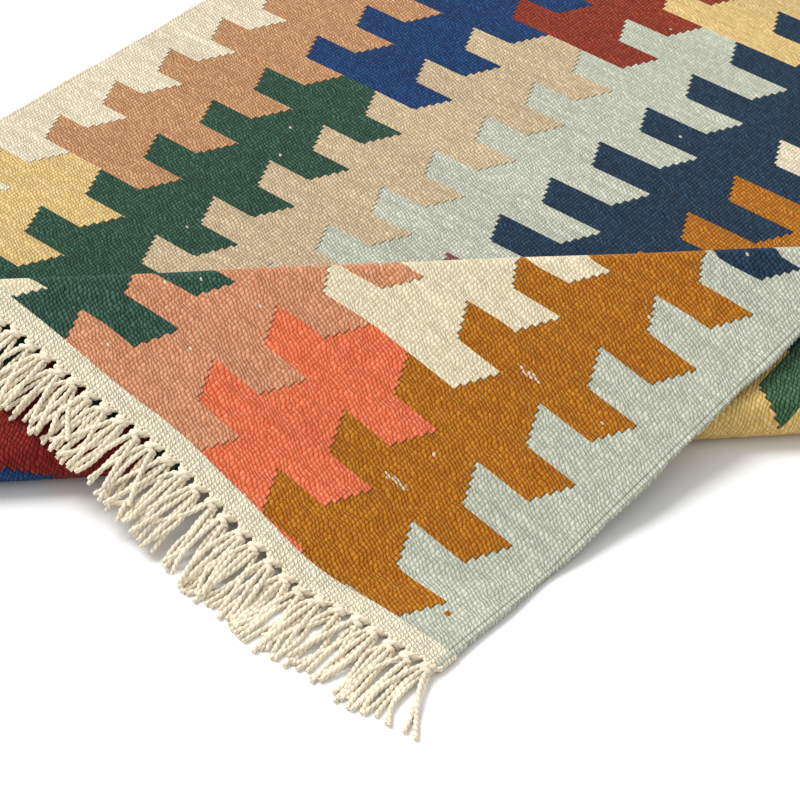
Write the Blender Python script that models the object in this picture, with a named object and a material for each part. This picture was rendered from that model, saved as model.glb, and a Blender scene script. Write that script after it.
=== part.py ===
"""Flat-woven kilim rug laid out with one corner folded back in a Z.

Units are metres, +Z is up.  The rug lies on its flat face: +Y runs along its length,
away from the folded end.  Every piece is laid out on the flat cloth first, in
(across, along) measured from the folded corner, and then carried onto the folded
surface.  That surface is a shallow cone: all its straight rulings meet at one far
point, so the cloth bends but never stretches.
"""
import math
import bpy
from mathutils import Vector

for old in list(bpy.data.objects):
    bpy.data.objects.remove(old, do_unlink=True)

# ---- driving sizes -------------------------------------------------------------
RUG_WIDTH = 0.800          # selvage to selvage
RUG_LENGTH = 1.500         # edge of one end band to edge of the other
CLOTH = 0.0035             # thickness of the woven field
CORD_RISE = 0.0004         # how far a selvage stands above the field
SELVAGE = 0.0060           # width of the bound selvage
BAND = 0.0140              # depth of the cotton end band
GAP = 0.0003               # clearance between neighbouring pieces

FLAP_REST = 0.066          # cloth lying on the floor at the corner
FLAP_SLOPE = 16.5          # degrees the flap climbs to the ridge
FLAP_BEND = 0.030          # radius where the flap leaves the floor
RIDGE_RADIUS = 0.0080      # bend at the raised fold
UNDER_RUN = 0.1055         # length of the layer under the flap
UNDER_SLOPE = 10.6         # degrees that layer climbs away from the front roll
ROLL_RADIUS = 0.0142       # bend of the front roll on the floor
FOLD_ANGLE = 44.3          # degrees between the fold lines and the rug's sides
CONE_REACH = 8.06          # from the middle of the front roll to the meeting point

TASSEL_GROUPS = 20         # pieces of fringe along each end
GROUP = 3                  # knotted tassels in each piece
TASSEL_LENGTH = 0.058      # band edge to cut ends
KNOT_AT = 0.0085           # band edge to the middle of the knot
KNOT_WIDTH = 0.0078
KNOT_HEIGHT = 0.0062
SKIRT_WIDTH = 0.0105
SKIRT_HEIGHT = 0.0036

UNDERSIDE = CLOTH / 2      # every piece shares this underside

# ---- the folded profile: lengths, slopes and bends seen along the fold lines ------
# Starting on the flat cloth behind the front roll and ending past the corner.
up_turn = math.radians(180 - UNDER_SLOPE)
over_turn = math.radians(180 - UNDER_SLOPE + FLAP_SLOPE)
ease_turn = math.radians(FLAP_SLOPE)
climb = (ROLL_RADIUS * (1 - math.cos(up_turn))
         + UNDER_RUN * math.sin(up_turn)
         + RIDGE_RADIUS * (math.cos(math.radians(UNDER_SLOPE)) + math.cos(ease_turn))
         - FLAP_BEND * (1 - math.cos(ease_turn)))
FLAP_RUN = climb / math.sin(ease_turn)         # sloping length, ridge to corner bend
SEGMENTS = (
    (ROLL_RADIUS * up_turn, -up_turn, 14),
    (UNDER_RUN, 0.0, 3),
    (RIDGE_RADIUS * over_turn, over_turn, 14),
    (FLAP_RUN, 0.0, 5),
    (FLAP_BEND * ease_turn, -ease_turn, 3),
    (FLAP_REST + 0.20, 0.0, 2),
)
FLAP_TO_ROLL = sum(length for length, _, _ in SEGMENTS) - 0.20


def profile(run):
    """Point and unit tangent of the profile, `run` metres past the flat cloth."""
    x, z, heading = 0.0, UNDERSIDE, math.pi
    if run <= 0:
        return -run, z, heading
    for length, turn, _ in SEGMENTS:
        part = min(run, length)
        if turn:
            radius = length / turn
            angle = part / radius
            x += radius * (math.sin(heading + angle) - math.sin(heading))
            z += radius * (math.cos(heading) - math.cos(heading + angle))
            heading += angle
        else:
            x += part * math.cos(heading)
            z += part * math.sin(heading)
        run -= part
        if run <= 1e-12:
            break
    return x, z, heading


def profile_steps():
    """Angles of the rulings at which the mesh needs a row of vertices."""
    runs, start = [0.0], 0.0
    for length, _, pieces in SEGMENTS:
        runs += [start + length * (i + 1) / pieces for i in range(pieces)]
        start += length
    return [-run / CONE_REACH for run in runs]


fold = math.radians(FOLD_ANGLE)
FOLD_DIR = Vector((math.sin(fold), math.cos(fold)))        # along the fold lines
ACROSS_FOLD = Vector((-math.cos(fold), math.sin(fold)))    # away from the corner
APEX = ACROSS_FOLD * FLAP_TO_ROLL + FOLD_DIR * CONE_REACH


def to_polar(across, along):
    """Flat cloth position to (distance from the meeting point, ruling angle)."""
    offset = Vector((-across, along)) - APEX
    return offset.length, math.atan2(offset.dot(ACROSS_FOLD), -offset.dot(FOLD_DIR))


def lift(reach, angle, height):
    """Folded position of a cloth point, `height` above the middle of the cloth."""
    run = -angle * CONE_REACH
    x, z, heading = profile(run)
    if run <= 0:
        x = CONE_REACH * math.tan(angle)
    ray = Vector((-CONE_REACH, x, z - UNDERSIDE)).normalized()
    tangent = Vector((0.0, math.cos(heading), math.sin(heading)))
    normal = ray.cross(tangent).normalized()
    at = ray * reach + normal * height
    flat = FOLD_DIR * at.x + ACROSS_FOLD * at.y + FOLD_DIR * CONE_REACH
    return Vector((flat.x, flat.y, at.z + UNDERSIDE))


# ---- materials -------------------------------------------------------------------
def cloth_material(name, colour, rough):
    mat = bpy.data.materials.new(name)
    mat.use_nodes = True
    shader = mat.node_tree.nodes["Principled BSDF"]
    shader.inputs["Base Color"].default_value = (*colour, 1.0)
    shader.inputs["Roughness"].default_value = rough
    mat.diffuse_color = (*colour, 1.0)
    return mat


def add_object(name, verts, faces, colour, rough):
    mesh = bpy.data.meshes.new(name)
    mesh.from_pydata(verts, [], faces)
    mesh.update()
    obj = bpy.data.objects.new(name, mesh)
    bpy.context.scene.collection.objects.link(obj)
    mesh.materials.append(cloth_material(name + "_material", colour, rough))
    return obj


# ---- woven strips: a rectangle of cloth cut along the rulings ------------------------
def clip_ruling(angle, low, high):
    """Where the ruling crosses a flat rectangle given by its two corners."""
    ray = (ACROSS_FOLD * math.sin(angle) - FOLD_DIR * math.cos(angle))
    near, far = 0.0, 1e9
    for start, step, lo, hi in ((-APEX.x, -ray.x, low[0], high[0]),
                                (APEX.y, ray.y, low[1], high[1])):
        if abs(step) < 1e-12:
            if not lo <= start <= hi:
                return None
            continue
        a, b = sorted(((lo - start) / step, (hi - start) / step))
        near, far = max(near, a), min(far, b)
    return (near, far) if far > near else None


def woven_strip(name, low, high, rise, spacing, colour, rough):
    """Closed solid of a cloth rectangle; its rows of vertices follow the rulings."""
    corners = [to_polar(a, b)[1] for a in (low[0], high[0]) for b in (low[1], high[1])]
    first, last = min(corners), max(corners)
    trim = 0.0004 / CONE_REACH
    angles = {first + trim, last - trim}
    for angle in list(corners) + profile_steps():
        if first + 3 * trim < angle < last - 3 * trim:
            angles.add(angle)
    angles = sorted(angles)
    filled = [angles[0]]
    for angle in angles[1:]:
        if angle - filled[-1] < 0.5 * trim:
            continue
        parts = max(1, math.ceil((angle - filled[-1]) * CONE_REACH / 0.16))
        start = filled[-1]
        filled += [start + (angle - start) * (i + 1) / parts for i in range(parts)]
    spans = [clip_ruling(angle, low, high) for angle in filled]
    longest = max(span[1] - span[0] for span in spans)
    cells = max(1, round(longest / spacing))
    row = cells + 1
    verts = []
    for angle, (near, far) in zip(filled, spans):
        for height in (-UNDERSIDE, UNDERSIDE + rise):
            for i in range(row):
                verts.append(lift(near + (far - near) * i / cells, angle, height))
    faces = []
    for r in range(len(filled) - 1):
        low_a, low_b = 2 * row * r, 2 * row * (r + 1)
        top_a, top_b = low_a + row, low_b + row
        for i in range(cells):
            faces.append((low_a + i, low_a + i + 1, low_b + i + 1, low_b + i))
            faces.append((top_a + i, top_b + i, top_b + i + 1, top_a + i + 1))
        faces.append((low_a, low_b, top_b, top_a))
        faces.append((low_a + cells, top_a + cells, top_b + cells, low_b + cells))
    end = 2 * row * (len(filled) - 1)
    for i in range(cells):
        faces.append((i, row + i, row + i + 1, i + 1))
        faces.append((end + i, end + i + 1, end + row + i + 1, end + row + i))
    return add_object(name, verts, faces, colour, rough)


# The coloured wool field, one unbroken sheet through both folds.
woven_strip("woven_field",
            (SELVAGE + GAP, BAND + GAP),
            (RUG_WIDTH - SELVAGE - GAP, RUG_LENGTH - BAND - GAP),
            0.0, 0.12, (0.42, 0.26, 0.13), 0.92)

# Bound selvages along both long sides.
woven_strip("selvage_right", (0.0, 0.0), (SELVAGE, RUG_LENGTH),
            CORD_RISE, 0.12, (0.52, 0.58, 0.52), 0.92)
woven_strip("selvage_left", (RUG_WIDTH - SELVAGE, 0.0), (RUG_WIDTH, RUG_LENGTH),
            CORD_RISE, 0.12, (0.74, 0.68, 0.55), 0.92)

# Undyed cotton bands that close the weave at both ends.
woven_strip("end_band_folded", (SELVAGE + GAP, 0.0),
            (RUG_WIDTH - SELVAGE - GAP, BAND),
            0.0, 0.12, (0.78, 0.72, 0.58), 0.90)
woven_strip("end_band_far", (SELVAGE + GAP, RUG_LENGTH - BAND),
            (RUG_WIDTH - SELVAGE - GAP, RUG_LENGTH),
            0.0, 0.12, (0.78, 0.72, 0.58), 0.90)

# ---- tassels: knotted bundles of warp ends, three to a piece ----------------------------
# Each bundle: distance from the band, width and height, as it gathers into its knot
# and opens into a skirt of cut cords.
tassel_pitch = RUG_WIDTH / (GROUP * TASSEL_GROUPS)
BUNDLE = (
    (0.0022, tassel_pitch * 0.86, 0.0026),
    (KNOT_AT - 0.0040, KNOT_WIDTH * 0.72, 0.0034),
    (KNOT_AT - 0.0024, KNOT_WIDTH, KNOT_HEIGHT * 0.86),
    (KNOT_AT, KNOT_WIDTH, KNOT_HEIGHT),
    (KNOT_AT + 0.0026, KNOT_WIDTH, KNOT_HEIGHT * 0.80),
    (KNOT_AT + 0.0046, KNOT_WIDTH * 0.74, 0.0040),
    (TASSEL_LENGTH * 0.45, SKIRT_WIDTH * 0.88, SKIRT_HEIGHT),
    (TASSEL_LENGTH * 0.75, SKIRT_WIDTH, SKIRT_HEIGHT),
    (TASSEL_LENGTH, SKIRT_WIDTH * 0.92, SKIRT_HEIGHT * 0.85),
)


BEND_GAP = 0.0010          # clearance from the band where the edge turns a fold
RIDGE_END = sum(length for length, _, _ in SEGMENTS[:3])


def edge_run(across):
    """How far round the folds a point of the folded end's edge lies."""
    return -to_polar(across, 0.0)[1] * CONE_REACH


def in_bend(start, width):
    """True where that much of the folded edge turns round a tight fold."""
    begin = 0.0
    for length, turn, _ in SEGMENTS:
        near, far = edge_run(start + width), edge_run(start)
        if abs(turn) > 1.0 and near < begin + length and far > begin:
            return True
        begin += length
    return False


def bundle_point(root, across, out, height, far_end):
    """Folded position of a bundle's point; cords behind the ridge stay near level."""
    if far_end:
        return lift(*to_polar(across, RUG_LENGTH + GAP + out), height - UNDERSIDE)
    if edge_run(root) > RIDGE_END:
        return lift(*to_polar(across, -GAP - out), height - UNDERSIDE)
    reach, angle = to_polar(root, 0.0)
    at = lift(reach, angle, 0.0)
    way = lift(*to_polar(root, -0.0005), 0.0) - at
    level = Vector((way.x, way.y, way.z * 0.15)).normalized()
    up = lift(reach, angle, 0.001) - at
    up = (up - level * up.dot(level)).normalized()
    side = level.cross(up)
    at += way.normalized() * BEND_GAP + level * out
    at += side * (across - root) + up * (height - UNDERSIDE)
    return Vector((at.x, at.y, max(at.z, 0.0)))


def tassel_group(name, start, far_end):
    """A few bundles that share the row of warps leaving the band."""
    width = tassel_pitch * GROUP - GAP
    side = tassel_pitch * 0.07
    parts = 5 if not far_end and in_bend(start, width) else 1
    stops = [0.0]
    for k in range(GROUP):
        stops += [tassel_pitch * k + side, min(tassel_pitch * (k + 1), width) - side]
    stops.append(width)
    marks = [stops[0]]
    for k in range(len(stops) - 1):
        fine = parts if k % 2 else 1
        marks += [stops[k] + (stops[k + 1] - stops[k]) * (i + 1) / fine
                  for i in range(fine)]
    ports = [1 + k * (parts + 1) for k in range(GROUP)]
    root_depth, root_height = BUNDLE[0][0], BUNDLE[0][2]
    verts, faces = [], []
    for out in (0.0, root_depth):
        for height in (0.0, root_height):
            verts += [bundle_point(start + mark, start + mark, out, height, far_end)
                      for mark in marks]
    n = len(marks)
    for i in range(n - 1):
        faces.append((i, i + 1, 2 * n + i + 1, 2 * n + i))
        faces.append((n + i, 3 * n + i, 3 * n + i + 1, n + i + 1))
        faces.append((i, n + i, n + i + 1, i + 1))
        if not any(port <= i < port + parts for port in ports):
            faces.append((2 * n + i, 2 * n + i + 1, 3 * n + i + 1, 3 * n + i))
    faces.append((0, 2 * n, 3 * n, n))
    faces.append((n - 1, 2 * n - 1, 4 * n - 1, 3 * n - 1))
    for port in ports:
        middle = start + (marks[port] + marks[port + parts]) / 2
        loop = [2 * n + port + i for i in range(parts + 1)]
        loop += [3 * n + port + parts - i for i in range(parts + 1)]
        for out, wide, high in BUNDLE[1:]:
            base = len(verts)
            across = [middle + wide * (i / parts - 0.5) for i in range(parts + 1)]
            verts += [bundle_point(middle, at, out, 0.0, far_end) for at in across]
            verts += [bundle_point(middle, at, out, high, far_end)
                      for at in reversed(across)]
            new = list(range(base, base + 2 * parts + 2))
            for k in range(len(new)):
                m = (k + 1) % len(new)
                faces.append((loop[k], loop[m], new[m], new[k]))
            loop = new
        faces.append(tuple(loop))
    if not far_end:
        faces = [tuple(reversed(face)) for face in faces]
    return add_object(name, verts, faces, (0.80, 0.74, 0.60), 0.88)


for group in range(TASSEL_GROUPS):
    begin = group * tassel_pitch * GROUP + GAP / 2
    tassel_group("tassels_folded_%02d" % (group + 1), begin, False)
    tassel_group("tassels_far_%02d" % (group + 1), begin, True)

# ---- set the origin under the middle of the whole piece ------------------------------
pieces = [obj for obj in bpy.context.scene.objects if obj.type == "MESH"]
points = [vert.co for obj in pieces for vert in obj.data.vertices]
middle_x = (min(p.x for p in points) + max(p.x for p in points)) / 2
middle_y = (min(p.y for p in points) + max(p.y for p in points)) / 2
floor_z = min(p.z for p in points)
for obj in pieces:
    for vert in obj.data.vertices:
        vert.co -= Vector((middle_x, middle_y, floor_z))
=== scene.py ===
"""Flat-woven wool kilim, laid out with one corner folded back on itself in a Z.

The rug is one cloth: a slit-tapestry field in wool, a bound selvage down each long side,
a cotton band across each end, and the warp ends knotted into tassels beyond the bands.
Metres, +Z up, +Y along the length away from the folded end.
"""
import math

import bpy
import numpy as np
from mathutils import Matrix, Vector
from mathutils.bvhtree import BVHTree


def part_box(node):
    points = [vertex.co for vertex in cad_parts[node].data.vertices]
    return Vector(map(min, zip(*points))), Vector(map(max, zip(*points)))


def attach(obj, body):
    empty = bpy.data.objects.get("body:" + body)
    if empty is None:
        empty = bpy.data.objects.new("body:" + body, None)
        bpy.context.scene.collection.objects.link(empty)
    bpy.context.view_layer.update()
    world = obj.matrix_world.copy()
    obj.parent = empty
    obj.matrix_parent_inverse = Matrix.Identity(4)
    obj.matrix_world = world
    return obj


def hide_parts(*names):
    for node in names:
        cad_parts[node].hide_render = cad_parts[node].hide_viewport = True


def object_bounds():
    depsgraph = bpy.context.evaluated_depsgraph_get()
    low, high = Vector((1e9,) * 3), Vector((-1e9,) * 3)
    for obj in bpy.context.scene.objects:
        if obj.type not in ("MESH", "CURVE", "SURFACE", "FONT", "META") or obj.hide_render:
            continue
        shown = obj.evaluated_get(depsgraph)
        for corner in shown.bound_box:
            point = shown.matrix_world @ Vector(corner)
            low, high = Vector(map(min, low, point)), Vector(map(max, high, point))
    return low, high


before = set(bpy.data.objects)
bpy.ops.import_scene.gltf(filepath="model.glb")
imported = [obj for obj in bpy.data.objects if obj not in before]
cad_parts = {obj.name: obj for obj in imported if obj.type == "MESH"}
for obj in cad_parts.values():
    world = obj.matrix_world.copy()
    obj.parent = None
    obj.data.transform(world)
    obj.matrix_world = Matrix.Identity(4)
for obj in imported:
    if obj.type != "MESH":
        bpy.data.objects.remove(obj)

box_at_start = [list(corner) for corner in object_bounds()]

# ---- 1. The woven field --------------------------------------------------------------
# A kilim's field is a weft-faced tapestry: plied wool packed over ribs of cotton warp,
# each colour turned back at its own edge so that a slit is left where two colours meet
# along a warp. It is one cloth, 0.8 x 1.5 m, and here a corner is folded over twice.
RUG_WIDTH, RUG_LENGTH = 0.800, 1.500
CLOTH = 0.0035
SELVAGE, BAND = 0.0060, 0.0140
MID = CLOTH / 2                                # height of the middle of the cloth
WARPS = 271                                    # ribs from side to side
RIB = RUG_WIDTH / WARPS
PICK = 0.00270                                 # one weft bead along a rib

# The lie of the folds, from the front of the rug to the tip of the corner.
FRONT_ROLL = 0.0142                            # radius of the roll along the front
LAYER_RUN, LAYER_SLOPE = 0.1055, math.radians(10.6)
RIDGE_BEND = 0.0080                            # radius of the ridge on top
CORNER_SLOPE = math.radians(16.5)              # fall of the flap from the ridge
CORNER_EASE = 0.030                            # radius where it comes level again
CORNER_REST = 0.066                            # the corner's tip, lying flat
OVERRUN = 0.20                                 # spare run beyond the tip
FOLD_LINE = math.radians(44.3)                 # turn of the fold lines from the length
FOLD_REACH = 8.06                              # from the front to where they all meet
roll_turn = math.pi - LAYER_SLOPE
ridge_turn = math.pi - LAYER_SLOPE + CORNER_SLOPE
climb = (FRONT_ROLL * (1 - math.cos(roll_turn)) + LAYER_RUN * math.sin(roll_turn)
         + RIDGE_BEND * (math.cos(LAYER_SLOPE) + math.cos(CORNER_SLOPE))
         - CORNER_EASE * (1 - math.cos(CORNER_SLOPE)))
STRETCHES = (                                  # length, turn and steps of each
    (FRONT_ROLL * roll_turn, -roll_turn, 26),
    (LAYER_RUN, 0.0, 14),
    (RIDGE_BEND * ridge_turn, ridge_turn, 26),
    (climb / math.sin(CORNER_SLOPE), 0.0, 30),
    (CORNER_EASE * CORNER_SLOPE, -CORNER_SLOPE, 6),
    (CORNER_REST + OVERRUN, 0.0, 30),
)
FLAP = sum(length for length, _, _ in STRETCHES) - OVERRUN
RIDGE_END = sum(length for length, _, _ in STRETCHES[:3])
fold_way = np.array((math.sin(FOLD_LINE), math.cos(FOLD_LINE)))
fold_out = np.array((-math.cos(FOLD_LINE), math.sin(FOLD_LINE)))
meeting = fold_out * FLAP + fold_way * FOLD_REACH


def flat_to_polar(across, along):
    """Distance and angle of a spot of the flat cloth about the folds' meeting point."""
    dx, dy = -across - meeting[0], along - meeting[1]
    return (np.hypot(dx, dy),
            np.arctan2(dx * fold_out[0] + dy * fold_out[1],
                       -dx * fold_way[0] - dy * fold_way[1]))


def carry(across, along, height):
    """Folded place of spots of the cloth, `height` off its middle (before centring)."""
    reach, angle = flat_to_polar(np.asarray(across, float), np.asarray(along, float))
    run = -angle * FOLD_REACH
    left, x, z = np.maximum(run, 0.0), np.zeros_like(run), np.full_like(run, MID)
    heading = np.full_like(run, math.pi)
    for length, turn, _ in STRETCHES:
        part = np.minimum(left, length)
        if turn:
            radius = length / turn
            ahead = heading + part / radius
            x = x + radius * (np.sin(ahead) - np.sin(heading))
            z = z + radius * (np.cos(heading) - np.cos(ahead))
            heading = ahead
        else:
            x, z = x + part * np.cos(heading), z + part * np.sin(heading)
        left = left - part
    x = np.where(run <= 0, FOLD_REACH * np.tan(angle), x)
    ray = np.stack([np.full_like(x, -FOLD_REACH), x, z - MID], -1)
    ray /= np.linalg.norm(ray, axis=-1, keepdims=True)
    level = np.stack([np.zeros_like(x), np.cos(heading), np.sin(heading)], -1)
    up = np.cross(ray, level)
    up /= np.linalg.norm(up, axis=-1, keepdims=True)
    at = ray * reach[..., None] + up * np.broadcast_to(height, x.shape)[..., None]
    flat = (fold_way * (at[..., :1] + FOLD_REACH) + fold_out * at[..., 1:2])
    return np.concatenate([flat, at[..., 2:] + MID], -1)


# The cloth is shifted so that its flat part lies where the frame has it.
left_side, far_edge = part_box("selvage_left"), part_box("end_band_far")
CLEAR_ACROSS, CLEAR_ALONG = 0.5, 1.2           # a spot well away from the folds
centring = np.array((
    carry(RUG_WIDTH, CLEAR_ALONG, 0.0)[0] - left_side[0][0],
    carry(CLEAR_ACROSS, RUG_LENGTH, 0.0)[1] - far_edge[1][1],
    carry(CLEAR_ACROSS, CLEAR_ALONG, -MID)[2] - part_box("woven_field")[0][2],
))


def ripple(across, along):
    """The cloth's slight unevenness as it lies, never below the floor."""
    return 0.00030 * (2 + np.sin(23 * across + 9 * along + 1.0)
                      + 0.6 * np.sin(41 * along - 17 * across + 0.4)
                      + 0.4 * np.sin(63 * across + 31 * along))


EDGE_BOWS = ((0.0054, 0.113, 0.036), (-0.0046, 0.232, 0.045), (-0.0022, 0.335, 0.055))
BOWS_FADE = 0.12                               # they die out this far in from the end


def edge_bow(across, along):
    """How far the folded end's edge strays outward: each bow is out, middle and spread."""
    stray = sum(out * np.exp(-((across - middle) / spread) ** 2)
                for out, middle, spread in EDGE_BOWS)
    return stray * np.clip(1 - along / BOWS_FADE, 0, 1)


def laid(across, along, height):
    """Place of a spot of the laid-out cloth, in the rug's own frame."""
    across, along = np.asarray(across, float), np.asarray(along, float)
    return carry(across, along - edge_bow(across, along),
                 height + ripple(across, along)) - centring


SHARP_RIM = math.radians(70)


def build(name, points, faces, node, yarn):
    """A mesh piece riding on the rug; yarn is a vector kept at every vertex."""
    mesh = bpy.data.meshes.new(name)
    mesh.from_pydata([tuple(p) for p in np.asarray(points).tolist()], [], faces)
    layer = mesh.attributes.new("yarn", "FLOAT_VECTOR", "POINT")
    layer.data.foreach_set("vector", np.asarray(yarn, np.float32).ravel())
    mesh.polygons.foreach_set("use_smooth", [True] * len(mesh.polygons))
    mesh.set_sharp_from_angle(angle=SHARP_RIM)
    mesh.update()
    piece = bpy.data.objects.new(name, mesh)
    bpy.context.scene.collection.objects.link(piece)
    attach(piece, "root")
    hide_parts(node)
    return piece


def closed_sheet(across, along, thickness, raised=0.0):
    """Vertices, faces and yarn of a closed slab over a grid of cloth spots."""
    rows, cols = across.shape
    lower = laid(across, along, np.full(across.shape, -MID))
    upper = laid(across, along, thickness - MID + raised)
    points = np.concatenate([lower.reshape(-1, 3), upper.reshape(-1, 3)])
    spots = np.stack([across, along - edge_bow(across, along), np.zeros_like(across)], -1)
    spots = spots.reshape(-1, 3)
    index = np.arange(rows * cols).reshape(rows, cols)
    a, b, c, d = index[:-1, :-1], index[:-1, 1:], index[1:, 1:], index[1:, :-1]
    bottom = np.stack([a, b, c, d], -1).reshape(-1, 4)
    top = np.stack([a, d, c, b], -1).reshape(-1, 4) + rows * cols
    rim = np.concatenate([index[0], index[1:, -1], index[-1, -2::-1], index[-2:0:-1, 0]])
    after = np.roll(rim, -1)
    wall = np.stack([rim, rim + rows * cols, after + rows * cols, after], -1)
    faces = np.concatenate([bottom, top, wall]).tolist()
    return points, faces, np.concatenate([spots, spots])


def ruling_span(angle, low, high):
    """Near and far distance at which a ruling crosses a flat rectangle."""
    way = fold_out * math.sin(angle) - fold_way * math.cos(angle)
    near, far = 0.0, 1e9
    for start, step, lo, hi in ((-meeting[0], -way[0], low[0], high[0]),
                                (meeting[1], way[1], low[1], high[1])):
        first, second = sorted(((lo - start) / step, (hi - start) / step))
        near, far = max(near, first), min(far, second)
    return near, far


GRID_STEP = 0.0080                             # widest gap between rulings, at the front
GRID_SPOTS = 127                               # spots along each ruling
CORNER_TRIM = 0.0003                           # kept off the two outermost corners


def ruling_angles(low, high):
    """Angles of the rulings the grid follows: closest together round the bends."""
    corners = [float(flat_to_polar(across, along)[1])
               for across in (low[0], high[0]) for along in (low[1], high[1])]
    trim = CORNER_TRIM / FOLD_REACH
    first, last = min(corners) + trim, max(corners) - trim
    needed = set(corners[1:3]) | {first, last}
    start = 0.0
    for length, _, steps in STRETCHES:
        needed |= {-(start + length * i / steps) / FOLD_REACH for i in range(steps + 1)}
        start += length
    needed = sorted(angle for angle in needed if first <= angle <= last)
    angles = [needed[0]]
    for angle in needed[1:]:
        if angle - angles[-1] < trim:
            continue
        steps = max(1, math.ceil((angle - angles[-1]) * FOLD_REACH / GRID_STEP))
        begin = angles[-1]
        angles += [begin + (angle - begin) * (i + 1) / steps for i in range(steps)]
    return np.array(angles)


low, high = (SELVAGE, BAND), (RUG_WIDTH - SELVAGE, RUG_LENGTH - BAND)
rulings = ruling_angles(low, high)
spans = np.array([ruling_span(angle, low, high) for angle in rulings])
reach = spans[:, :1] + (spans[:, 1:] - spans[:, :1]) * np.linspace(0, 1, GRID_SPOTS)[None, :]
sines, cosines = np.sin(rulings)[:, None], np.cos(rulings)[:, None]
flat_x = meeting[0] + reach * (fold_out[0] * sines - fold_way[0] * cosines)
flat_y = meeting[1] + reach * (fold_out[1] * sines - fold_way[1] * cosines)
points, faces, spots = closed_sheet(-flat_x, flat_y, CLOTH)
woven_field = build("kilim_field", points, faces, "woven_field", spots)

WHITEST = 0.78                                 # the palest wool takes little painted shade in its valleys


class Recipe:
    """A material under construction: its shader and short ways to add nodes."""

    def __init__(self, name, rough, fuzz, fuzz_colour):
        self.material = bpy.data.materials.new(name)
        self.material.use_nodes = True
        self.tree = self.material.node_tree
        self.shader = self.tree.nodes["Principled BSDF"]
        self.shader.inputs["Roughness"].default_value = rough
        self.shader.inputs["Specular IOR Level"].default_value = 0.14
        self.shader.inputs["Sheen Weight"].default_value = fuzz
        self.shader.inputs["Sheen Roughness"].default_value = 0.55
        self.shader.inputs["Sheen Tint"].default_value = (*fuzz_colour, 1.0)

    def feed(self, socket, value):
        """Link a node's output to a socket, or set the socket to a plain value."""
        if isinstance(value, bpy.types.NodeSocket):
            self.tree.links.new(value, socket)
        elif isinstance(value, tuple) and len(value) == 3 and socket.type == "RGBA":
            socket.default_value = (*value, 1.0)
        else:
            socket.default_value = value

    def math(self, operation, *values):
        node = self.tree.nodes.new("ShaderNodeMath")
        node.operation = operation
        for socket, value in zip(node.inputs, values):
            self.feed(socket, value)
        return node.outputs[0]

    def plus(self, first, second):
        return self.math("ADD", first, second)

    def less(self, first, second):
        return self.math("SUBTRACT", first, second)

    def times(self, first, second):
        return self.math("MULTIPLY", first, second)

    def over(self, first, second):
        return self.math("DIVIDE", first, second)

    def power(self, first, second):
        return self.math("POWER", first, second)

    def whole(self, value):
        return self.math("FLOOR", value)

    def fraction(self, value):
        return self.math("FRACT", value)

    def hump(self, place):
        """A rounded hump: 1 at place 0, down to 0 at half a step to either side."""
        return self.less(1.0, self.times(self.power(place, 2.0), 4.0))

    def span(self, value, low_in, high_in, low_out, high_out):
        """One range of values carried over to another, and held at its ends."""
        node = self.tree.nodes.new("ShaderNodeMapRange")
        for socket, number in zip(node.inputs, (value, low_in, high_in, low_out, high_out)):
            self.feed(socket, number)
        return node.outputs[0]

    def blend(self, amount, first, second):
        node = self.tree.nodes.new("ShaderNodeMix")
        node.data_type = "RGBA"
        self.feed(node.inputs["Factor"], amount)
        self.feed(node.inputs["A"], first)
        self.feed(node.inputs["B"], second)
        return next(s for s in node.outputs if s.type == "RGBA")

    def shade(self, colour, tone):
        node = self.tree.nodes.new("ShaderNodeVectorMath")
        node.operation = "SCALE"
        self.feed(node.inputs[0], colour)
        self.feed(node.inputs["Scale"], tone)
        return node.outputs[0]

    def paint_valley_shade(self, colour, power):
        """Painted shade: the yarn is darkened and made richer in the valleys, most of all where it
        is dark.

        The answer is brighter than the yarn by 1 / WHITEST, which the tone takes back.
        """
        node = self.tree.nodes.new("ShaderNodeGamma")
        self.feed(node.inputs["Color"], self.shade(colour, 1 / WHITEST))
        self.feed(node.inputs["Gamma"], power)
        return node.outputs[0]

    def place(self, x, y, z=0.0):
        node = self.tree.nodes.new("ShaderNodeCombineXYZ")
        for socket, value in zip(node.inputs, (x, y, z)):
            self.feed(socket, value)
        return node.outputs[0]

    def cloud(self, where, scale=1.0, detail=2.0):
        """Soft noise from 0 to 1."""
        node = self.tree.nodes.new("ShaderNodeTexNoise")
        self.feed(node.inputs["Vector"], where)
        node.inputs["Scale"].default_value = scale
        node.inputs["Detail"].default_value = detail
        return node.outputs[0]

    def streaks(self, across_scale, along_scale, seed=0.0, detail=2.0):
        """Soft noise with its own scale, per metre, each way over the flat cloth."""
        across, along, _ = self.yarn()
        where = self.place(self.times(across, across_scale), self.times(along, along_scale), seed)
        return self.cloud(where, 1.0, detail)

    def speckle(self, x, y, seed):
        """A value from 0 to 1 of its own for every pair of whole numbers."""
        node = self.tree.nodes.new("ShaderNodeTexWhiteNoise")
        node.noise_dimensions = "3D"
        self.feed(node.inputs["Vector"], self.place(x, y, seed))
        return node.outputs["Value"]

    def yarn(self):
        """The vector kept at every vertex: on cloth, the spot's place across and along."""
        node = self.tree.nodes.new("ShaderNodeAttribute")
        node.attribute_name = "yarn"
        parts = self.tree.nodes.new("ShaderNodeSeparateXYZ")
        self.tree.links.new(node.outputs["Vector"], parts.inputs[0])
        return parts.outputs[0], parts.outputs[1], parts.outputs[2]

    def finish(self, colour, relief, depth):
        self.feed(self.shader.inputs["Base Color"], colour)
        bump = self.tree.nodes.new("ShaderNodeBump")
        bump.inputs["Distance"].default_value = depth
        self.feed(bump.inputs["Height"], relief)
        self.tree.links.new(bump.outputs[0], self.shader.inputs["Normal"])
        return self.material


def dye(red, green, blue):
    """Linear colour of a given one, 0 to 255."""
    return tuple((c / 255 / 12.92) if c <= 10 else ((c / 255 + 0.055) / 1.055) ** 2.4
                 for c in (red, green, blue))


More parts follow.
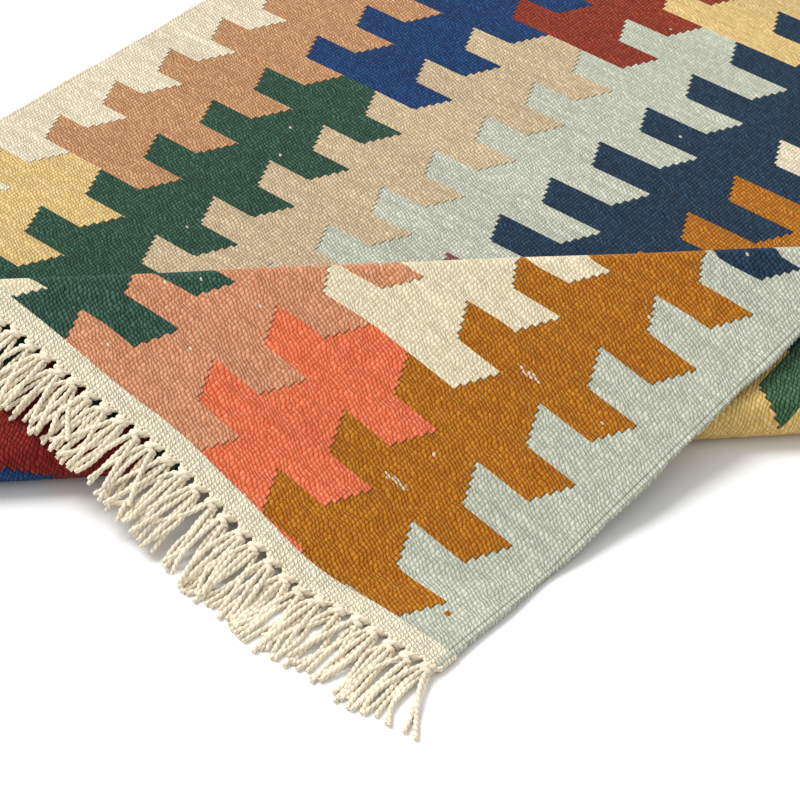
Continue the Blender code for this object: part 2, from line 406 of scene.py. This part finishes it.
# The dyed wools.
IVORY = dye(224, 213, 188)
CREAM = dye(226, 214, 184)
PALE = dye(192, 195, 178)
TAN = dye(190, 145, 104)
OCHRE = dye(174, 111, 24)
GOLD = dye(216, 185, 116)
STRAW = dye(216, 188, 130)
GREEN = dye(46, 81, 64)
FOREST = dye(50, 84, 70)
BEIGE = dye(200, 180, 148)
NAVY = dye(27, 55, 77)
ROYAL = dye(18, 59, 106)
BRICK = dye(142, 53, 30)
WINE = dye(126, 30, 26)
ROSE = dye(206, 147, 110)
CORAL = dye(224, 119, 81)
EMERALD = dye(66, 100, 71)
MAUVE = dye(138, 84, 92)
BARE_WARP = dye(228, 216, 192)                 # undyed cotton, where the wool is worn off

# The drawing: columns of hooked blocks. A column's middle lies so many tiers from the
# right-hand side; each dye starts at the tier beside it and runs to the next.
TIER = 0.0573574
COLUMNS = (
    (0.28, (PALE, -1), (CREAM, 18.5)),
    (1.77, (OCHRE, -1), (NAVY, 5.5), (EMERALD, 6.5), (BRICK, 12.5), (BEIGE, 18.5), (OCHRE, 23.5)),
    (3.20, (CORAL, -1), (CREAM, 2), (GOLD, 6), (NAVY, 12), (OCHRE, 18), (CREAM, 22)),
    (4.65, (ROSE, -1), (OCHRE, 5.5), (IVORY, 11.5), (GREEN, 17.5), (CORAL, 22.5)),
    (6.40, (FOREST, -1), (MAUVE, 5), (NAVY, 8), (STRAW, 16), (ROYAL, 21)),
    (8.10, (CREAM, -1), (WINE, 0.5), (PALE, 5.5), (STRAW, 13.5), (BRICK, 18.5), (TAN, 23.5)),
    (9.55, (ROYAL, -1), (BEIGE, 5), (BRICK, 12), (PALE, 17), (FOREST, 22)),
    (10.97, (BRICK, -1), (GREEN, 2.5), (ROYAL, 9.5), (TAN, 15.5), (WINE, 20.5)),
    (12.43, (STRAW, -1), (TAN, 6), (FOREST, 13), (CORAL, 18), (NAVY, 22)),
    (13.69, (IVORY, -1)),
)
ALL_TIERS = 28.0                               # the dyes' ramps run from tier -1 to tier 27
DRAWING_START = 0.92                           # tiers from the end to the drawing's own zero
NECK, SLANT = 0.27, 0.25                       # half width of a neck and how it widens
PER_TIER = TIER / RIB                          # warps in a tier

# How far the weaver's tiers crept, in tiers, at so many tiers across and along together.
CREEP = ((0.0, 0.20), (6.2, 0.20), (6.8, 0.28), (7.3, 0.40),
         (9.4, -0.20), (11.6, -0.20), (15.4, 0.0), (40.0, 0.0))
NO_CREEP = 0.5                                 # middle of the curve that holds them

STRAY_STITCH = (0.0255, 0.0345)                # an ochre stitch beside the pale corner
STRAY_SIZE = 0.00212
WORN_ROWS = ((0.112, 0.083), (0.104, 0.196))   # wool rubbed through to the warp
WORN_ROW_SIZE = (0.010, 0.0022)


def creep_of(wool, diagonal):
    """The tiers' creep as a curve node, with NO_CREEP added."""
    node = wool.tree.nodes.new("ShaderNodeFloatCurve")
    widest = CREEP[-1][0]
    wool.feed(node.inputs["Value"], wool.over(diagonal, widest))
    line = node.mapping.curves[0]
    for _ in CREEP[2:]:
        line.points.new(0.5, 0.5)
    for spot, (where, tiers) in zip(line.points, CREEP):
        spot.location = (where / widest, tiers + NO_CREEP)
        spot.handle_type = "VECTOR"
    node.mapping.update()
    return node.outputs[0]


def column_dyes(wool, dyes, bands):
    """The colour of one column at every tier, each dye in a band of its own."""
    ramp = wool.tree.nodes.new("ShaderNodeValToRGB")
    ramp.color_ramp.interpolation = "CONSTANT"
    stops = ramp.color_ramp.elements
    stops.remove(stops[1])
    stops[0].color = (*dyes[0][0], 1.0)
    for yarn_dye, first_tier in dyes[1:]:
        stops.new((first_tier + 1) / ALL_TIERS).color = (*yarn_dye, 1.0)
    wool.feed(ramp.inputs[0], bands)
    return ramp.outputs[0]


def tapestry_drawing(wool):
    """Colour of every spot of the cloth, and how many warps off the nearest slit is."""
    across, along, _ = wool.yarn()
    warp = wool.over(across, RIB)
    tier = wool.over(along, TIER)
    diagonal = wool.plus(wool.over(across, TIER), tier)
    height = wool.plus(wool.less(tier, DRAWING_START + NO_CREEP), creep_of(wool, diagonal))

    # In one half of a tier a column is at its neck and the next one's hook reaches over to
    # it; in the other half they change about. The neck narrows along each half.
    late = wool.math("GREATER_THAN", wool.fraction(wool.plus(height, 10.0)), 0.5)
    halves = wool.plus(wool.times(height, 2.0), 20.0)
    slope = wool.less(1.0, wool.fraction(halves))
    neck = wool.times(wool.plus(wool.times(slope, SLANT), NECK), PER_TIER)

    # Dyes change only at half tiers, so each is read in the middle of its half.
    bands = wool.over(wool.less(wool.times(wool.plus(wool.whole(halves), 0.5), 0.5), 9.0), ALL_TIERS)

    # Towards the folded end the columns on the left stand a third of a tier nearer the corner.
    crowding = wool.times(
        wool.span(wool.over(warp, PER_TIER), 4.9, 6.2, 0.0, 0.33 * PER_TIER),
        wool.span(diagonal, 7.4, 8.2, 1.0, 0.0))

    before, *first_dyes = COLUMNS[0]
    colour, slit = column_dyes(wool, first_dyes, bands), 1.0
    for number, (middle, *dyes) in enumerate(COLUMNS[1:], 1):
        wide = wool.less(middle * PER_TIER, neck)      # the hook of the column before
        tight = wool.plus(before * PER_TIER, neck)     # its neck
        first, second = (wide, tight) if number % 2 else (tight, wide)
        edge = wool.plus(wool.times(first, wool.less(1.0, late)), wool.times(second, late))
        edge = wool.math("ROUND", wool.less(edge, crowding))
        past_edge = wool.math("GREATER_THAN", warp, edge)
        colour = wool.blend(past_edge, colour, column_dyes(wool, dyes, bands))
        slit = wool.math("MINIMUM", slit, wool.math("ABSOLUTE", wool.less(warp, edge)))
        before = middle

    from_stitch = wool.plus(wool.power(wool.less(across, STRAY_STITCH[0]), 2.0),
                            wool.power(wool.less(along, STRAY_STITCH[1]), 2.0))
    stitch = wool.math("LESS_THAN", from_stitch, STRAY_SIZE ** 2)
    return wool.blend(stitch, colour, OCHRE), slit


def weft_beads(wool):
    """The beads of weft over each rib: their warp, their pick and their roundness."""
    across, along, _ = wool.yarn()
    warp = wool.over(across, RIB)
    warp_number = wool.whole(warp)
    leaning = wool.times(wool.less(wool.streaks(45.0, 30.0, 9.0), 0.5), 0.28)
    rib_place = wool.less(wool.fraction(wool.plus(warp, leaning)), 0.5)

    # Half a bead out of step with the rib beside it, wandering, each rib a little its own.
    pick = wool.plus(wool.over(along, PICK), wool.times(wool.math("MODULO", warp_number, 2.0), 0.5))
    pick = wool.plus(pick, wool.times(wool.streaks(60.0, 90.0, detail=1.0), 2.6))
    pick = wool.plus(pick, wool.times(wool.speckle(warp_number, 1.0, 17.0), 0.42))
    pick = wool.less(pick, wool.times(rib_place, 0.42))

    bead = wool.hump(wool.less(wool.fraction(pick), 0.5))
    rounded = wool.times(
        wool.span(wool.power(bead, 0.75), 0.0, 1.0, 0.08, 1.0),
        wool.span(wool.power(wool.hump(rib_place), 0.55), 0.0, 1.0, 0.24, 1.0))
    return warp_number, wool.whole(pick), rounded


def worn_flecks(wool, warp_number, pick_number, rounded):
    """Where the bare warp shows: a stray bead here and there, and two short rows."""
    across, along, _ = wool.yarn()
    needed = 0.9991
    for worn_across, worn_along in WORN_ROWS:
        off = wool.plus(
            wool.power(wool.over(wool.less(across, worn_across), WORN_ROW_SIZE[0]), 2.0),
            wool.power(wool.over(wool.less(along, worn_along), WORN_ROW_SIZE[1]), 2.0))
        needed = wool.less(needed, wool.times(wool.math("LESS_THAN", off, 1.0), 0.45))
    chance_of_fleck = wool.speckle(warp_number, pick_number, 11.0)
    return wool.times(wool.math("GREATER_THAN", chance_of_fleck, needed),
                      wool.span(rounded, 0.35, 0.7, 0.0, 0.70))


wool = Recipe("slit_tapestry_wool", 0.92, 0.05, (1.0, 0.96, 0.9))
colour, slit = tapestry_drawing(wool)
warp_number, pick_number, rounded = weft_beads(wool)
own = wool.speckle(warp_number, pick_number, 3.0)      # each bead differs a little
fuzz = wool.streaks(620.0, 760.0, 2.0)                 # loose fibres
throw = wool.streaks(7.0, 330.0, detail=3.0)           # each throw of yarn
bath = wool.streaks(3.0, 34.0, 5.0)                    # each dye bath

# Painted shade: the bead valleys are darkened, dark dyes most; each bead's own speckle varies it a
# little.
colour = wool.paint_valley_shade(colour, wool.times(
    wool.span(rounded, 0.0, 0.62, 2.15, 0.95), wool.span(own, 0.0, 1.0, 1.09, 0.92)))
tone = wool.times(wool.span(own, 0.0, 1.0, 0.90, 1.09), wool.span(fuzz, 0.3, 0.7, 0.90, 1.10))
tone = wool.times(tone, wool.span(throw, 0.30, 0.70, 0.91, 1.09))
tone = wool.times(tone, wool.span(bath, 0.30, 0.70, 0.94 * WHITEST, 1.06 * WHITEST))
# Painted shade: the wool darkens towards each slit, standing in for the shade inside the open gap.
tone = wool.times(tone, wool.span(slit, 0.05, 0.26, 0.25, 1.0))
colour = wool.blend(worn_flecks(wool, warp_number, pick_number, rounded),
                    wool.shade(colour, tone), BARE_WARP)
relief = wool.plus(wool.plus(rounded, wool.times(own, 0.26)), wool.times(fuzz, 0.42))
wool_cloth = wool.finish(colour, relief, 0.0009)
woven_field.data.materials.append(wool_cloth)

# ---- 2. The selvages -----------------------------------------------------------------
# Each long side ends in two doubled warps that every weft loops round on its way back,
# so the edge is a slightly wavy, scalloped cord in the wool of the column beside it.
def rings_to_tube(count, sides):
    """Faces that join equal rings of vertices into a tube with capped ends."""
    index = np.arange(count * sides).reshape(count, sides)
    a, b = index[:-1], index[1:]
    faces = np.stack([a, np.roll(a, -1, 1), np.roll(b, -1, 1), b], -1).reshape(-1, 4).tolist()
    return faces + [index[0][::-1].tolist(), index[-1].tolist()]


EDGE_RINGS, EDGE_SIDES = 1901, 16
END_GAP = 0.0004                               # left between pieces that meet end to end
LOOP_PITCH, LOOP_OUT = 0.0034, 0.00058         # one turn of weft and how far it stands out


def wrapped_edge(name, node, outward, inward, phase):
    """The doubled edge warps with the weft turning round them in uneven little loops."""
    run = np.linspace(END_GAP, RUG_LENGTH - END_GAP, EDGE_RINGS)[:, None]
    angle = np.linspace(0, 2 * math.pi, EDGE_SIDES, endpoint=False)[None, :]
    wave = 0.0008 * np.sin(run * 41 + phase) + 0.0006 * np.sin(run * 103 + 2 * phase)
    turns = 2 * math.pi * run / LOOP_PITCH
    loops = LOOP_OUT * np.sin(turns + 2.2 * np.sin(run * 67 + phase))
    reach = (np.cos(angle) + 1) / 2                # 1 on the outer side, 0 where it joins
    out = np.sign(np.cos(angle)) * np.abs(np.cos(angle)) ** 0.55
    high = np.sign(np.sin(angle)) * np.abs(np.sin(angle)) ** 0.62
    middle, half = (outward + inward) / 2, (outward - inward) / 2
    spots_across = middle + half * out + math.copysign(1, half) * (wave + loops) * reach
    spots_along = np.broadcast_to(run, spots_across.shape)
    lift = np.maximum((MID + 0.00006) * high + 0.25 * loops * reach * (high > 0), -MID)
    points = laid(spots_across, spots_along, lift)
    yarn = np.stack([spots_across, spots_along, np.zeros_like(spots_across)], -1)
    faces = rings_to_tube(*spots_across.shape)
    if half > 0:
        faces = [face[::-1] for face in faces]
    piece = build(name, points.reshape(-1, 3), faces, node, yarn.reshape(-1, 3))
    piece.data.materials.append(wool_cloth)
    return piece


LAP = 0.0002                                   # how far an edge tucks into the field
RIGHT_IN, LEFT_IN = 0.0019, 0.0012             # room at each side for the loops
edge_right = wrapped_edge("edge_cord_right", "selvage_right", RIGHT_IN, SELVAGE + LAP, 0.7)
edge_left = wrapped_edge("edge_cord_left", "selvage_left", RUG_WIDTH - LEFT_IN,
                         RUG_WIDTH - SELVAGE - LAP, 2.1)

# ---- 3. The cotton end bands ---------------------------------------------------------
# The weaver starts and ends the rug with a dozen picks of the undyed cotton warp yarn,
# a plain weave a finger's breadth deep that locks the wool in place.
COTTON_PICK = 0.0024                           # one pick of the plain weave
BAND_THINNER = 0.0003                          # the band is a little thinner than the wool
BAND_GRID = (620, 29)                          # spots across and along
UNDYED_BAND = dye(248, 236, 208)

cotton = Recipe("plain_weave_cotton", 0.88, 0.08, (1.0, 0.98, 0.94))
across, along, _ = cotton.yarn()
warp = cotton.over(across, RIB)
warp_number, warp_place = cotton.whole(warp), cotton.fraction(warp)
pick = cotton.plus(cotton.over(along, COTTON_PICK),
                   cotton.times(cotton.math("MODULO", warp_number, 2.0), 0.5))
pick = cotton.plus(pick, cotton.times(cotton.streaks(110.0, 120.0), 2.2))
pick = cotton.less(pick, cotton.times(warp_place, 0.5))
own = cotton.speckle(warp_number, cotton.whole(pick), 7.0)
soft = cotton.streaks(30.0, 260.0, detail=3.0)
rounded = cotton.times(
    cotton.power(cotton.hump(cotton.less(warp_place, 0.5)), 0.5),
    cotton.hump(cotton.less(cotton.fraction(pick), 0.5)))
# Painted shade: the plain weave is darker down in the valleys between ribs and picks; each pick's
# own tone and soft streaks vary it.
tone = cotton.times(cotton.span(rounded, 0.0, 0.6, 0.76, 1.03),
                    cotton.span(own, 0.0, 1.0, 0.88, 1.08))
tone = cotton.times(tone, cotton.span(soft, 0.3, 0.7, 0.94, 1.05))
band_cotton = cotton.finish(cotton.shade(UNDYED_BAND, tone), rounded, 0.0012)


def end_band(name, node, start):
    """A strip of plain weave across one end, its picks standing as low ridges."""
    across = np.linspace(END_GAP, RUG_WIDTH - END_GAP, BAND_GRID[0])
    along = np.linspace(start, start + BAND, BAND_GRID[1])
    along, across = np.meshgrid(along, across)
    ribs = 0.00018 * np.sin(2 * math.pi * across / RIB)
    picks = 0.00012 * np.sin(2 * math.pi * along / COTTON_PICK)
    points, faces, spots = closed_sheet(across, along, CLOTH - BAND_THINNER, ribs + picks)
    faces = [face[::-1] for face in faces]
    piece = build(name, points, faces, node, spots)
    piece.data.materials.append(band_cotton)
    return piece


band_folded = end_band("cotton_band_folded_end", "end_band_folded", 0.0)
band_far = end_band("cotton_band_far_end", "end_band_far", RUG_LENGTH - BAND)

# ---- 4. The knotted tassels ----------------------------------------------------------
# The warp ends are gathered four or five at a time and tied in an overhand knot hard
# against the band. Beyond it the two-ply cotton cords hang free, sixty tassels to an end.
TASSELS = 60
GROUP = 3                                      # tassels in one piece
PITCH = RUG_WIDTH / TASSELS
TASSEL = 0.058                                 # from the band to the cords' ends
KNOT_AT, KNOT_WIDE, KNOT_HIGH = 0.0085, 0.0078, 0.0062
CORD = 0.00142                                 # half the thickness of a cord
PLY = 0.0080                                   # one turn of its two plies
PLY_SWELL = 0.16                               # how far the plies stand out of round
UNDYED_CORD = dye(241, 228, 203)

cord_cotton = Recipe("two_ply_cotton", 0.86, 0.08, (1.0, 0.98, 0.94))
run, side_cos, side_sin = cord_cotton.yarn()   # on a cord: the run, and round it
turned = cord_cotton.less(cord_cotton.math("ARCTAN2", side_sin, side_cos),
                          cord_cotton.times(run, 2 * math.pi / PLY))
plies = cord_cotton.math("ABSOLUTE", cord_cotton.math("COSINE", turned))
where = cord_cotton.tree.nodes.new("ShaderNodeTexCoord").outputs["Object"]
soft = cord_cotton.cloud(where, 900.0, 3.0)
batch = cord_cotton.cloud(where, 120.0, 1.0)
# Painted shade: the grooves between the two plies are darker; soft streaks and batch tone vary the
# rest.
tone = cord_cotton.times(cord_cotton.span(plies, 0.0, 0.5, 0.76, 1.03),
                         cord_cotton.span(soft, 0.3, 0.7, 0.90, 1.08))
tone = cord_cotton.times(tone, cord_cotton.span(batch, 0.35, 0.65, 0.92, 1.06))
relief = cord_cotton.plus(plies, cord_cotton.times(soft, 0.3))
fringe_cotton = cord_cotton.finish(cord_cotton.shade(UNDYED_CORD, tone), relief, 0.0005)

below = BVHTree.FromPolygons([v.co for v in woven_field.data.vertices],
                             [p.vertices[:] for p in woven_field.data.polygons])
floor_at = float(box_at_start[0][2])


def ground(at):
    """Height of whatever lies under a point: the cloth or the floor."""
    hit = below.ray_cast(Vector((at[0], at[1], at[2] + 0.004)), Vector((0, 0, -1)), 0.3)[0]
    return max(floor_at, hit.z) if hit else floor_at


def cord(path, thick, sides, first=0.0):
    """Tube of twisted cotton along a path; returns its vertices, faces and yarn."""
    path = np.asarray(path)
    way = np.gradient(path, axis=0)
    way /= np.linalg.norm(way, axis=1, keepdims=True)
    level = np.cross(way, (0.0, 0.0, 1.0)) + 1e-9
    level /= np.linalg.norm(level, axis=1, keepdims=True)
    up = np.cross(level, way)
    run = first + np.concatenate([[0], np.cumsum(np.linalg.norm(np.diff(path, axis=0), axis=1))])
    angle = np.linspace(0, 2 * math.pi, sides, endpoint=False)
    twist = 2 * math.pi * run[:, None] / PLY
    size = np.broadcast_to(thick, run.shape)[:, None]
    size = size * (1 + PLY_SWELL * np.cos(2 * (angle - twist)))
    ring = (path[:, None] + level[:, None] * (size * np.cos(angle))[..., None]
            + up[:, None] * (size * np.sin(angle))[..., None])
    yarn = np.stack([np.broadcast_to(run[:, None], size.shape),
                     np.broadcast_to(np.cos(angle), size.shape),
                     np.broadcast_to(np.sin(angle), size.shape)], -1)
    return ring.reshape(-1, 3), rings_to_tube(*size.shape), yarn.reshape(-1, 3)


def root_of(across, far_end):
    """Where a tassel leaves the band: its place, way out, up and sideways."""
    edge = RUG_LENGTH if far_end else 0.0
    step = 0.0005 if far_end else -0.0005
    at = laid(across, edge, 0.0)
    way = laid(across, edge + step, 0.0) - at
    run = -float(flat_to_polar(across, 0.0)[1]) * FOLD_REACH
    if not far_end and run <= RIDGE_END:
        way[2] *= 0.15                         # round the bends the cords fall level
    way /= np.linalg.norm(way)
    up = laid(across, edge, 0.001) - at
    up -= way * up.dot(way)
    up /= np.linalg.norm(up)
    return at, way, up, np.cross(way, up)


def fall(at, way, side, length, step, sway, bend, chance):
    """Path of one free cord: it droops as it goes and lies on what it meets."""
    path, at, way = [at], at.copy(), way.copy()
    wave = chance.uniform(0, 6.3)
    for i in range(int(round(length / step))):
        part = (i + 1) * step / length
        way = way + side * (sway * step * (1 + 0.9 * math.sin(5 * part + wave)))
        way[2] -= bend * step
        way /= np.linalg.norm(way)
        at = at + way * step
        rest = ground(at) + CORD * 1.05
        if at[2] < rest:
            at[2] = rest
            way[2] = max(way[2], 0.0) + 0.02
        path.append(at.copy())
    return path


def gathered_warps(at, knot, way, side, sides):
    """The warps between the band and the knot, drawn together."""
    parts = []
    for place in np.linspace(-0.5, 0.5, 4):
        begin = at - way * 0.0012 + side * (place * PITCH * 0.92)
        end = knot + side * (place * KNOT_WIDE * 0.52) - way * 0.0012
        t = np.linspace(0, 1, 9)[:, None]
        ease = t * t * (3 - 2 * t)
        parts.append(cord(begin + (end - begin) * (0.5 * t + 0.5 * ease), CORD * 0.95, sides))
    return parts


def overhand_knot(knot, way, up, side, sides, chance):
    """Two fat turns of the bundle crossing over each other."""
    lean = chance.uniform(0.25, 0.6) * chance.choice((-1, 1))
    wide, high = KNOT_WIDE / 2 - CORD * 0.45, KNOT_HIGH / 2 - CORD * 0.9
    parts = []
    for turn in (-1, 1):
        t = np.linspace(0, 1, 26)[:, None]
        spin = chance.uniform(0, 2 * math.pi) + 2 * math.pi * 1.05 * t
        out = turn * 0.0014 + 0.0006 * np.sin(spin + 1) + turn * lean * 0.0030 * np.cos(spin)
        path = knot + way * out + side * (wide * np.cos(spin)) + up * (high * np.sin(spin))
        parts.append(cord(path, CORD * 1.34, sides))
    return parts


def free_cords(knot, way, up, side, across, far_end, chance):
    """Five or six cords that fan from the knot, droop, and lie on what they meet.

    The outer ones by the folded corner lean outward, and those further in are worn shorter.
    """
    sides, step = (8, 0.0020) if far_end else (10, 0.0011)
    flat_side = side * np.array((1.0, 1.0, 0.25))
    count = chance.integers(5, 7)
    drift = chance.normal(0, 3.6) + 4.5 * math.sin(37 * across) + 4.0 * math.sin(97 * across + 1)
    shorter = 0.0
    if not far_end:
        drift -= 16 * max(0.0, 1 - across / 0.05)
        shorter = 0.15 * min(max((across - 0.18) / 0.12, 0.0), 1.0)
    parts = []
    for i in range(count):
        place = i / (count - 1) - 0.5
        start = (knot + way * 0.0022 + side * (place * KNOT_WIDE * 0.95)
                 + up * (0.0011 * ((i % 2) - 0.5) * 2))
        out = (way + flat_side * (place * 0.78 + chance.normal(0, 0.10))
               + up * chance.normal(0.05, 0.06))
        out[2] = min(out[2], way[2] + 0.06)
        out /= np.linalg.norm(out)
        length = (TASSEL - KNOT_AT) * chance.uniform(0.84, 0.97) * (1 - shorter)
        sway = drift - place * 16 + chance.normal(0, 6.0)
        path = fall(start, out, flat_side, length, step, sway, chance.uniform(3, 9), chance)
        thick = CORD * chance.uniform(0.92, 1.10) * np.interp(
            np.linspace(0, 1, len(path)), (0, 0.1, 0.93, 1), (0.9, 1, 1.04, 0.86))
        parts.append(cord(path, thick, sides, first=chance.uniform(0, PLY)))
    return parts


def tassel(across, far_end, chance):
    """One knotted bundle: the gathered warps, the knot and the free cords."""
    at, way, up, side = root_of(across, far_end)
    sides = 8 if far_end else 10
    knot = (at + way * (KNOT_AT * chance.uniform(0.46, 0.76)) + up * (KNOT_HIGH / 2 - MID)
            + side * chance.uniform(-0.0007, 0.0007))
    return (gathered_warps(at, knot, way, side, sides)
            + overhand_knot(knot, way, up, side, sides, chance)
            + free_cords(knot, way, up, side, across, far_end, chance))


chance = np.random.default_rng(26)
for far_end in (False, True):
    end_name = "far" if far_end else "folded"
    for group in range(TASSELS // GROUP):
        points, faces, yarn, count = [], [], [], 0
        for k in range(GROUP):
            middle = (group * GROUP + k + 0.5) * PITCH
            for part_points, part_faces, part_yarn in tassel(middle, far_end, chance):
                points.append(part_points)
                yarn.append(part_yarn)
                faces += [[v + count for v in face] for face in part_faces]
                count += len(part_points)
        piece = build("knotted_tassels_%s_%02d" % (end_name, group + 1), np.concatenate(points),
                      faces, "tassels_%s_%02d" % (end_name, group + 1), np.concatenate(yarn))
        piece.data.materials.append(fringe_cotton)

# ---- 5. Floor, light and camera ------------------------------------------------------
# The rug lies on a plain white floor under an even pale sky and one broad, soft sun from
# above and the left. The camera looks down on the folded corner from in front of it.
FLOOR_SIZE = 60
bpy.ops.mesh.primitive_plane_add(size=FLOOR_SIZE, location=(0, 0, floor_at - 0.0002))
floor = bpy.context.object
floor.name = "studio_floor"
paper = Recipe("white_floor", 0.9, 0.0, (1, 1, 1))
grain = paper.cloud(paper.tree.nodes.new("ShaderNodeTexCoord").outputs["Object"], 3.0, 2.0)
floor.data.materials.append(paper.finish(
    paper.blend(grain, (0.90, 0.90, 0.90), (0.92, 0.92, 0.92)), grain, 0.0001))

sky = bpy.data.worlds.new("studio")
sky.use_nodes = True
sky.node_tree.nodes["Background"].inputs["Color"].default_value = (1, 1, 1, 1)
sky.node_tree.nodes["Background"].inputs["Strength"].default_value = 0.70
bpy.context.scene.world = sky
SUN_FROM = Vector((-1.7, -0.2, 2.3))
daylight = bpy.data.lights.new("overhead_left", "SUN")
daylight.angle = math.radians(30)              # a wide sun, so that shadows are soft
daylight.energy = 2.52
holder = bpy.data.objects.new("overhead_left", daylight)
holder.location = SUN_FROM
holder.rotation_euler = (-SUN_FROM).to_track_quat("-Z", "Y").to_euler()
bpy.context.scene.collection.objects.link(holder)

CAMERA_FROM = Vector((0.7005843, -0.8446418, 1.0045))
LOOKS_DOWN, LOOKS_ROUND = math.radians(41.27), math.radians(40.6)
lens = bpy.data.cameras.new("camera")
lens.lens, lens.sensor_width = 108.0, 36.0
camera = bpy.data.objects.new("camera", lens)
camera.location = CAMERA_FROM - Vector(centring.tolist())
camera.rotation_euler = (math.pi / 2 - LOOKS_DOWN, 0.0, LOOKS_ROUND)
bpy.context.scene.collection.objects.link(camera)
bpy.context.scene.camera = camera
bpy.context.scene.view_settings.view_transform = "Standard"
